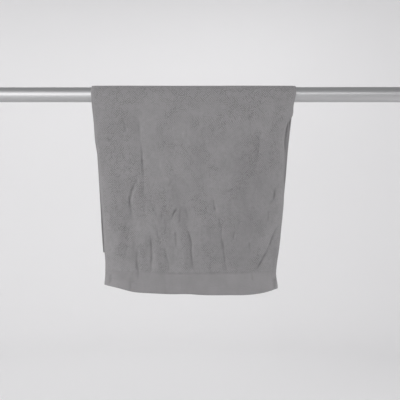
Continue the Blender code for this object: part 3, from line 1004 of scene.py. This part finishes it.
        # Painted shade in the creases and thin crinkles, darkening the whole cloth
        crease_shaded = graph.math("MULTIPLY", graph.attribute("crease_shade"), self.crease_shade_depth)
        colour = graph.mix_colour(crease_shaded, colour, self.shade_and_wear)
        graph.join(colour, graph.shader.inputs["Base Color"])
        flat_relief = graph.math("MULTIPLY", flat_tone, self.flat_height)
        relief = graph.mix(is_flat, pile_tone, flat_relief)
        graph.bump(relief, self.bump_strength, self.bump_height)
        graph.shader.inputs["Roughness"].default_value = self.roughness
        graph.shader.inputs["Sheen Weight"].default_value = self.sheen
        graph.shader.inputs["Sheen Roughness"].default_value = self.sheen_roughness
        graph.shader.inputs["Specular IOR Level"].default_value = self.specular
        return graph.material


@dataclass(frozen=True)
class ThreadFinish:
    """Sewing thread of the hems."""

    name: str = "hem_thread"
    colour: Colour = (0.30, 0.293, 0.30, 1.0)
    shade: Colour = (0.21, 0.205, 0.21, 1.0)
    roughness: float = 0.7
    ply_pitch: float = 0.0004
    ply_detail: float = 1.0
    bump_strength: float = 0.4
    bump_height: float = 0.0001

    def build(self) -> bpy.types.Material:
        """Builds the material, with the fine unevenness of the thread's ply."""
        graph = MaterialGraph(self.name)
        place = graph.add("ShaderNodeTexCoord").outputs["Object"]
        ply = graph.noise(place, self.ply_pitch, self.ply_detail)
        graph.join(graph.mix_colour(ply, self.shade, self.colour), graph.shader.inputs["Base Color"])
        graph.bump(ply, self.bump_strength, self.bump_height)
        graph.shader.inputs["Roughness"].default_value = self.roughness
        return graph.material


@dataclass(frozen=True)
class SteelFinish:
    """Satin stainless steel with a fine grain along the tube."""

    name: str = "satin_steel"
    light: Colour = (0.54, 0.54, 0.545, 1.0)
    dark: Colour = (0.46, 0.46, 0.465, 1.0)
    smooth: float = 0.34
    rough: float = 0.46
    grain_scale: Place = (0.012, 0.9, 0.9)
    grain_pitch: float = 0.001
    grain_detail: float = 3.0
    smear_scale: Place = (0.2, 1.0, 1.0)
    smear_pitch: float = 0.045
    smear_detail: float = 2.0
    smear_part: float = 0.4
    bump_strength: float = 0.05
    bump_height: float = 0.0002

    def build(self) -> bpy.types.Material:
        """Builds the material, whose grain follows the tube's length."""
        graph = MaterialGraph(self.name)
        place = graph.add("ShaderNodeTexCoord").outputs["Object"]
        drawn = graph.mapped(place, self.grain_scale)
        grain = graph.noise(drawn, self.grain_pitch, self.grain_detail)
        smeared = graph.mapped(place, self.smear_scale)
        smears = graph.noise(smeared, self.smear_pitch, self.smear_detail)
        tone = graph.mix(self.smear_part, grain, smears)
        graph.join(graph.mix_colour(tone, self.dark, self.light), graph.shader.inputs["Base Color"])
        graph.join(graph.mix(tone, self.smooth, self.rough), graph.shader.inputs["Roughness"])
        graph.bump(grain, self.bump_strength, self.bump_height)
        graph.shader.inputs["Metallic"].default_value = 1.0
        return graph.material


@dataclass(frozen=True)
class StageFinish:
    """The plain pale surface of the floor and its sweep."""

    name: str = "pale_stage"
    colour: Colour = (0.82, 0.815, 0.82, 1.0)
    roughness: float = 0.9
    specular: float = 0.2

    def build(self) -> bpy.types.Material:
        """Builds the material, with one colour all over."""
        graph = MaterialGraph(self.name)
        graph.shader.inputs["Base Color"].default_value = self.colour
        graph.shader.inputs["Roughness"].default_value = self.roughness
        graph.shader.inputs["Specular IOR Level"].default_value = self.specular
        return graph.material


@dataclass
class Handrail:
    """The round steel rail that the towel hangs from."""

    length: float = RAIL_LENGTH
    radius: float = RAIL_RADIUS
    rim: float = 0.001
    rim_steps: int = 5
    sides: int = 160
    spans: int = 24
    finish: SteelFinish = field(default_factory=SteelFinish)

    def profile(self) -> list[tuple[float, float]]:
        """The rail's half outline as X and radius, from one flat end to the other."""
        rim = []
        for angle in reversed(quarter_turn(self.rim_steps)):
            x = self.rim * (1 - math.sin(angle))
            rim.append((x, self.radius - self.rim * (1 - math.cos(angle))))
        run = self.length - 2 * self.rim
        body = [(self.rim + run * step / self.spans, self.radius) for step in range(1, self.spans)]
        return rim + body + [(self.length - x, radius) for x, radius in reversed(rim)]

    def build(self) -> bpy.types.Object:
        """Turns the outline round the axis, closes both ends and gives the steel its finish."""
        angles = full_turn(self.sides)
        ring = np.stack([0 * angles, np.cos(angles), np.sin(angles)], axis=1)
        points = np.array([ring * radius + (x, 0.0, 0.0) for x, radius in self.profile()])
        mesh = grid_mesh("rail_tube", points, closed_round=True)
        shape = bmesh.new()
        shape.from_mesh(mesh)
        bmesh.ops.holes_fill(shape, edges=[edge for edge in shape.edges if edge.is_boundary])
        bmesh.ops.recalc_face_normals(shape, faces=shape.faces)
        shape.to_mesh(mesh)
        shape.free()
        mesh.shade_smooth()
        mesh.set_sharp_from_angle(angle=SHARP_ANGLE)
        mesh.materials.append(self.finish.build())
        rail = link(bpy.data.objects.new("rail_tube", mesh))
        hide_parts("rail")
        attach(rail, BODY)
        return rail


@dataclass
class HemStitching:
    """The lockstitch rows that hold both turned hems, on both faces of the cloth."""

    inset: float = 0.0016
    margin: float = 0.008
    stitch: float = 0.0026
    pitch: float = 0.0031
    thread: float = 0.0005
    sunk: float = 0.0001
    unevenness: float = 0.12
    points_across: int = 240
    sides: int = 6
    rings: int = 4
    bead_radius: float = 0.5
    seed: int = 7
    finish: ThreadFinish = field(default_factory=ThreadFinish)

    def seam_lines(self, drop: Drop) -> list[np.ndarray]:
        """The paths of one drop's stitch rows, one on each face of the hem.

        Args:
            drop: the drop whose hem is sewn.

        Returns:
            Two lists of points.
        """
        edge = self.margin / CLOTH_WIDTH
        share = np.linspace(edge, 1 - edge, self.points_across)
        way = self.inset / (drop.hem_depth - drop.step_width)
        seam = drop.points(Row(HEM_LINE, way, drop.hem_thickness, Weave.HEM), share)
        below = drop.points(Row(HEM_LINE, 2 * way, drop.hem_thickness, Weave.HEM), share)
        outward = np.cross(np.gradient(seam, axis=0), below - seam)
        outward /= np.linalg.norm(outward, axis=1)[:, None]
        height = drop.hem_thickness / 2 - self.sunk
        return [seam + face * height * outward for face in (-1, 1)]

    def path_mesh(self, lines: list[np.ndarray]) -> bpy.types.Mesh:
        """A mesh of loose edges along the given lines."""
        edges = []
        for number, line in enumerate(lines):
            first = sum(len(other) for other in lines[:number])
            edges += [(first + step, first + step + 1) for step in range(len(line) - 1)]
        mesh = bpy.data.meshes.new("hem_stitches")
        mesh.from_pydata(np.concatenate(lines).tolist(), edges, [])
        return mesh

    def declare_inputs(self, tree: bpy.types.NodeTree) -> dict[str, str]:
        """Args:
            tree: the tree, still empty.

        Returns:
            The identifiers of the inputs by name, without the path's.
        """
        kinds = dict.fromkeys(("Pitch", "Stitch", "Thread", "Unevenness"), "NodeSocketFloat")
        kinds["Finish"] = "NodeSocketMaterial"
        tree.interface.new_socket("Geometry", in_out="INPUT", socket_type="NodeSocketGeometry")
        names = {}
        for name, kind in kinds.items():
            entry = tree.interface.new_socket(name, in_out="INPUT", socket_type=kind)
            names[name] = entry.identifier
        tree.interface.new_socket("Geometry", in_out="OUTPUT", socket_type="NodeSocketGeometry")
        return names

    def stitch_size(self, graph: NodeGraph, given: bpy.types.NodeOutputs) -> Socket:
        """The size of each stitch: the thread's width and the stitch's length, a little uneven.

        Args:
            graph: the sewing tree's graph.
            given: the tree's inputs.

        Returns:
            The size as a vector.
        """
        size = graph.add("ShaderNodeCombineXYZ")
        graph.join(given["Thread"], size.inputs["X"])
        graph.join(given["Thread"], size.inputs["Y"])
        graph.join(given["Stitch"], size.inputs["Z"])
        least = graph.add("ShaderNodeMath", operation="SUBTRACT")
        graph.feed(least.inputs[0], 1.0)
        graph.join(given["Unevenness"], least.inputs[1])
        chance = graph.add("FunctionNodeRandomValue", data_type="FLOAT")
        graph.join(least.outputs[0], pick(chance.inputs, "Min_001"))
        graph.feed(pick(chance.inputs, "Max_001"), 1.0)
        graph.feed(chance.inputs["Seed"], self.seed)
        uneven = graph.add("ShaderNodeVectorMath", operation="SCALE")
        graph.join(size.outputs["Vector"], uneven.inputs[0])
        graph.join(pick(chance.outputs, "Value_001"), uneven.inputs["Scale"])
        return uneven.outputs["Vector"]

    def sewing_tree(self) -> tuple[bpy.types.NodeTree, dict[str, str]]:
        """Builds the tree that sews one stitch after another along each edge path.

        Returns:
            The tree, and its inputs' identifiers by name.
        """
        tree = bpy.data.node_groups.new("hem_sewing", "GeometryNodeTree")
        names = self.declare_inputs(tree)
        graph = NodeGraph(tree)
        given = graph.add("NodeGroupInput").outputs
        path = graph.add("GeometryNodeMeshToCurve")
        graph.join(given["Geometry"], path.inputs["Mesh"])
        even = graph.add("GeometryNodeResampleCurve", mode="LENGTH")
        graph.join(path.outputs["Curve"], even.inputs["Curve"])
        graph.join(given["Pitch"], even.inputs["Length"])
        places = graph.add("GeometryNodeCurveToPoints", mode="EVALUATED")
        graph.join(even.outputs["Curve"], places.inputs["Curve"])
        along = graph.add("FunctionNodeAlignRotationToVector", axis="Z")
        graph.join(places.outputs["Tangent"], along.inputs["Vector"])
        bead = graph.add("GeometryNodeMeshUVSphere")
        graph.feed(bead.inputs["Segments"], self.sides)
        graph.feed(bead.inputs["Rings"], self.rings)
        graph.feed(bead.inputs["Radius"], self.bead_radius)
        smooth = graph.add("GeometryNodeSetShadeSmooth")
        graph.join(bead.outputs["Mesh"], smooth.inputs["Geometry"])
        sew = graph.add("GeometryNodeInstanceOnPoints")
        graph.join(places.outputs["Points"], sew.inputs["Points"])
        graph.join(smooth.outputs["Geometry"], sew.inputs["Instance"])
        graph.join(along.outputs["Rotation"], sew.inputs["Rotation"])
        graph.join(self.stitch_size(graph, given), sew.inputs["Scale"])
        real = graph.add("GeometryNodeRealizeInstances")
        graph.join(sew.outputs["Instances"], real.inputs["Geometry"])
        dress = graph.add("GeometryNodeSetMaterial")
        graph.join(real.outputs["Geometry"], dress.inputs["Geometry"])
        graph.join(given["Finish"], dress.inputs["Material"])
        graph.join(dress.outputs["Geometry"], graph.add("NodeGroupOutput").inputs["Geometry"])
        return tree, names

    def build(self, drops: tuple[Drop, ...]) -> bpy.types.Object:
        """Sews both hems.

        Args:
            drops: the two drops.

        Returns:
            The stitches as one plain mesh object.
        """
        lines = [line for drop in drops for line in self.seam_lines(drop)]
        stitches = link(bpy.data.objects.new("hem_stitches", self.path_mesh(lines)))
        tree, names = self.sewing_tree()
        modifier = stitches.modifiers.new("sewing", "NODES")
        modifier.node_group = tree
        modifier[names["Pitch"]] = self.pitch
        modifier[names["Stitch"]] = self.stitch
        modifier[names["Thread"]] = self.thread
        modifier[names["Unevenness"]] = self.unevenness
        modifier[names["Finish"]] = self.finish.build()
        finished = plain_mesh(stitches)
        stitches.modifiers.clear()
        stitches.data = finished
        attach(stitches, BODY)
        return stitches


@dataclass
class Towel:
    """The towel: one sheet from hem to hem over the rail, and the stitches of its hems."""

    front: Drop
    back: Drop
    spans_across: int = 214
    rail_spans: int = 16
    selvedge_width: float = 0.006
    selvedge_step: float = 0.001
    selvedge_thickness: float = 0.0016
    finish: TerryFinish = field(default_factory=TerryFinish)
    stitching: HemStitching = field(default_factory=HemStitching)

    def shares(self) -> np.ndarray:
        """The sheet's columns as shares of the width, with narrow ones along each selvedge."""
        edge = self.selvedge_width / CLOTH_WIDTH
        step = self.selvedge_step / CLOTH_WIDTH
        selvedge = np.array([0.0, edge / 2, edge])
        inner = np.linspace(edge + step, 1 - edge - step, self.spans_across + 1 - 2 * len(selvedge))
        return np.concatenate([selvedge, inner, 1 - selvedge[::-1]])

    def in_selvedge(self, share: np.ndarray) -> np.ndarray:
        """Which columns lie in a selvedge."""
        reach = self.selvedge_width + self.selvedge_step / 2
        return np.minimum(share, 1 - share) <= reach / CLOTH_WIDTH

    def over_rail(self, share: np.ndarray) -> list[np.ndarray]:
        """The rows of the middle surface over the rail, from the front to the back."""
        top = self.front.sections[0]
        x = top.left + (top.right - top.left) * share
        radius = CLOTH_RADIUS + self.front.ripple(share)
        rows = []
        for step in range(self.rail_spans + 1):
            angle = HALF_TURN * step / self.rail_spans
            rows.append(np.stack([x, -radius * math.cos(angle), radius * math.sin(angle)], axis=1))
        return rows

    def placed_rows(self) -> list[tuple[Drop, Row]]:
        """Every row of the sheet with its drop, from the front hem over the rail to the back hem."""
        top = Row(0, 0.0, PILE_THICKNESS, Weave.PILE)
        front = [(self.front, row) for row in reversed(self.front.rows())]
        over = [(self.front, top)] * (self.rail_spans + 1)
        return front + over + [(self.back, row) for row in self.back.rows()]

    def grid(self, share: np.ndarray) -> np.ndarray:
        """The sheet's middle surface, as rows by columns by 3."""
        front = [self.front.points(row, share) for row in reversed(self.front.rows())]
        back = [self.back.points(row, share) for row in self.back.rows()]
        return np.array(front + self.over_rail(share) + back)

    def carried(self, share: np.ndarray) -> dict[str, list[np.ndarray]]:
        """What the sheet carries at each point for its finish.

        Args:
            share: the columns as shares of the width.

        Returns:
            The values row by row, by the attribute's name.
        """
        placed = self.placed_rows()
        selvedge = self.in_selvedge(share)
        edge = [max(row.weave, Weave.FLAT) for _, row in placed]
        return {
            "weave": [np.where(selvedge, woven, row.weave) for woven, (_, row) in zip(edge, placed)],
            # Painted shade in the creases and thin crinkles
            "crease_shade": [drop.crease_shade(row, share) for drop, row in placed],
            "nap": [drop.marks(drop.nap, row, share) for drop, row in placed],
            # Painted shade of the broad folds
            "broad_shade": [drop.marks(drop.broad_shade, row, share) for drop, row in placed],
        }

    def thickness(self, share: np.ndarray) -> np.ndarray:
        """The sheet's thickness at each point, row after row."""
        selvedge = self.in_selvedge(share)
        rows = []
        for _, row in self.placed_rows():
            thin = min(row.thickness, self.selvedge_thickness)
            rows.append(np.where(selvedge, thin, row.thickness))
        return np.array(rows).ravel()

    def build_sheet(self) -> bpy.types.Object:
        """Builds the sheet with its thickness, its map in metres and its attributes."""
        share = self.shares()
        grid = self.grid(share)
        mesh = grid_mesh("towel_cloth", grid)
        self.map_cloth(mesh, grid, share)
        for name, values in self.carried(share).items():
            attribute = mesh.attributes.new(name, "FLOAT", "POINT")
            attribute.data.foreach_set("value", np.array(values, np.float32).ravel())
        mesh.shade_smooth()
        mesh.materials.append(self.finish.build())
        sheet = link(bpy.data.objects.new("towel_cloth", mesh))
        self.thicken(sheet, self.thickness(share))
        return sheet

    def map_cloth(self, mesh: bpy.types.Mesh, grid: np.ndarray, share: np.ndarray) -> None:
        """Lays the flat cloth's own coordinates on the mesh, in metres.

        Args:
            mesh: the sheet's mesh, one vertex for each point of the grid.
            grid: the sheet's points, as rows by columns by 3.
            share: the columns as shares of the width.
        """
        steps = np.median(np.linalg.norm(np.diff(grid, axis=0), axis=2), axis=1)
        along = np.concatenate([[0.0], np.cumsum(steps)])
        corner = np.zeros(len(mesh.loops), np.int32)
        mesh.loops.foreach_get("vertex_index", corner)
        across = share[corner % len(share)] * CLOTH_WIDTH
        places = np.stack([across, along[corner // len(share)]], axis=1)
        mesh.uv_layers.new(name="cloth").data.foreach_set("uv", places.astype(np.float32).ravel())

    def thicken(self, sheet: bpy.types.Object, thickness: np.ndarray) -> None:
        """Gives the sheet its thickness at each vertex, and makes it plain mesh.

        Args:
            sheet: the sheet's object, with its middle surface as mesh.
            thickness: the thickness at each vertex, in metres.
        """
        most = float(thickness.max())
        group = sheet.vertex_groups.new(name="thickness")
        for value in np.unique(thickness):
            group.add(np.flatnonzero(thickness == value).tolist(), float(value) / most, "REPLACE")
        solidify = sheet.modifiers.new("cloth", "SOLIDIFY")
        solidify.thickness = most
        solidify.offset = 0.0
        solidify.vertex_group = group.name
        finished = plain_mesh(sheet)
        sheet.modifiers.clear()
        sheet.vertex_groups.clear()
        sheet.data = finished

    def build(self) -> list[bpy.types.Object]:
        sheet = self.build_sheet()
        stitches = self.stitching.build((self.front, self.back))
        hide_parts("towel")
        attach(sheet, BODY)
        return [sheet, stitches]


@dataclass
class Studio:
    """The pale floor with its round sweep, the soft lights and the camera."""

    middle: tuple[float, float] = (RAIL_LENGTH / 2, 0.0)
    floor_level: float = -1.25
    sweep_radius: float = 4.2
    corner_radius: float = 1.2
    wall_top: float = 2.2
    sides: int = 96
    corner_steps: int = 12
    floor_rings: tuple[float, float] = (0.125, 0.5)
    camera_place: Place = (0.6, -2.24, -0.295)
    lens: float = 72.0
    sensor: float = 36.0
    sky: Colour = (0.98, 0.985, 1.0, 1.0)
    sky_strength: float = 0.42
    lamps: tuple[Lamp, ...] = (
        Lamp("window", (-0.75, -3.3, 0.1), (0.4, 0.0, -0.1), 2.6, 2.3, 31.5),
        Lamp("side_window", (1.3, -3.2, 0.85), (0.9, 0.0, -0.1), 0.9, 0.8, 6.5),
        Lamp("key", (-2.4, -1.9, 0.9), (0.55, 0.0, -0.25), 1.2, 1.4, 52.0),
        Lamp("edge", (3.1, -0.2, -0.15), (0.85, 0.0, -0.2), 1.0, 1.4, 27.0),
        Lamp("floor_wash", (0.2, 2.4, 1.5), (0.1, 2.6, -1.25), 2.6, 1.0, 20.0),
    )

    def sweep_outline(self) -> list[tuple[float, float]]:
        """The floor, the round corner and the wall, as radius and level."""
        start = self.sweep_radius - self.corner_radius
        low = self.floor_level + self.corner_radius
        outline = [(start * part, self.floor_level) for part in self.floor_rings]
        for angle in quarter_turn(self.corner_steps):
            radius = start + self.corner_radius * math.sin(angle)
            outline.append((radius, low - self.corner_radius * math.cos(angle)))
        return outline + [(self.sweep_radius, self.wall_top)]

    def build_sweep(self) -> bpy.types.Object:
        """Builds the floor and its sweep, which aren't part of the object."""
        angles = full_turn(self.sides)
        ring = np.stack([np.cos(angles), np.sin(angles), 0 * angles], axis=1)
        rings = [ring * radius + (*self.middle, level) for radius, level in self.sweep_outline()]
        mesh = grid_mesh("stage_sweep", np.array(rings), closed_round=True)
        shape = bmesh.new()
        shape.from_mesh(mesh)
        shape.verts.ensure_lookup_table()
        rim = [edge for edge in shape.edges if edge.is_boundary]
        centre = [edge for edge in rim if max(vert.index for vert in edge.verts) < self.sides]
        bmesh.ops.holes_fill(shape, edges=centre)
        shape.to_mesh(mesh)
        shape.free()
        mesh.shade_smooth()
        mesh.materials.append(StageFinish().build())
        sweep = link(bpy.data.objects.new("stage_sweep", mesh))
        return sweep

    def build_lamps(self) -> None:
        """Builds the soft lights, each turned to its aim and itself unseen."""
        for lamp in self.lamps:
            light = bpy.data.lights.new(lamp.name, "AREA")
            light.shape = "RECTANGLE"
            light.size = lamp.width
            light.size_y = lamp.height
            light.energy = lamp.power
            obj = link(bpy.data.objects.new(lamp.name, light))
            obj.location = lamp.place
            towards = Vector(lamp.aim) - Vector(lamp.place)
            obj.rotation_euler = towards.to_track_quat("-Z", "Y").to_euler()
            obj.visible_camera = False

    def build_sky(self) -> None:
        """Sets the plain even light from above the sweep."""
        world = bpy.data.worlds.new("even_sky")
        world.use_nodes = True
        background = world.node_tree.nodes["Background"]
        background.inputs["Color"].default_value = self.sky
        background.inputs["Strength"].default_value = self.sky_strength
        bpy.context.scene.world = world

    def build_camera(self) -> None:
        """Builds the level camera, straight in front of the rail and a little below it."""
        camera = bpy.data.cameras.new("camera")
        camera.sensor_width = self.sensor
        camera.lens = self.lens
        obj = link(bpy.data.objects.new("camera", camera))
        obj.location = self.camera_place
        obj.rotation_euler = (QUARTER_TURN, 0.0, 0.0)
        bpy.context.scene.camera = obj

    def build(self) -> bpy.types.Object:
        """Builds the camera, the floor, the lights and the sky."""
        self.build_camera()
        self.build_lamps()
        self.build_sky()
        bpy.context.scene.view_settings.view_transform = "Standard"
        return self.build_sweep()


def main() -> None:
    """Builds the studio, the rail and the towel in order, and reports each piece."""
    logging.basicConfig(level=logging.INFO, format="%(name)s: %(message)s")
    surface = WashedSurface(PUCKERS, CRINKLES)
    front = Drop(
        side=Side.FRONT,
        sections=FRONT_SECTIONS,
        band_line=FRONT_BAND_LINE,
        hem_line=FRONT_HEM_LINE,
        corners=FRONT_CORNERS,
        folds=FRONT_FOLDS,
        creases=FRONT_CREASES,
        nap=FRONT_NAP,
        broad_shade=FRONT_BROAD_SHADE,
        pile_spans=112,
        surface=surface,
    )
    back = Drop(
        side=Side.BACK,
        sections=BACK_SECTIONS,
        band_line=BACK_BAND_LINE,
        hem_line=BACK_HEM_LINE,
        corners=BACK_CORNERS,
        folds=BACK_FOLDS,
        creases=BACK_CREASES,
        nap=BACK_NAP,
        broad_shade=BACK_BROAD_SHADE,
        pile_spans=56,
        surface=surface,
    )
    pieces = [Studio().build(), Handrail().build()] + Towel(front, back).build()
    for piece in pieces:
        triangles = sum(len(face.vertices) - 2 for face in piece.data.polygons)
        LOG.info("%s: %d triangles", piece.name, triangles)


if __name__ == "__main__":
    main()
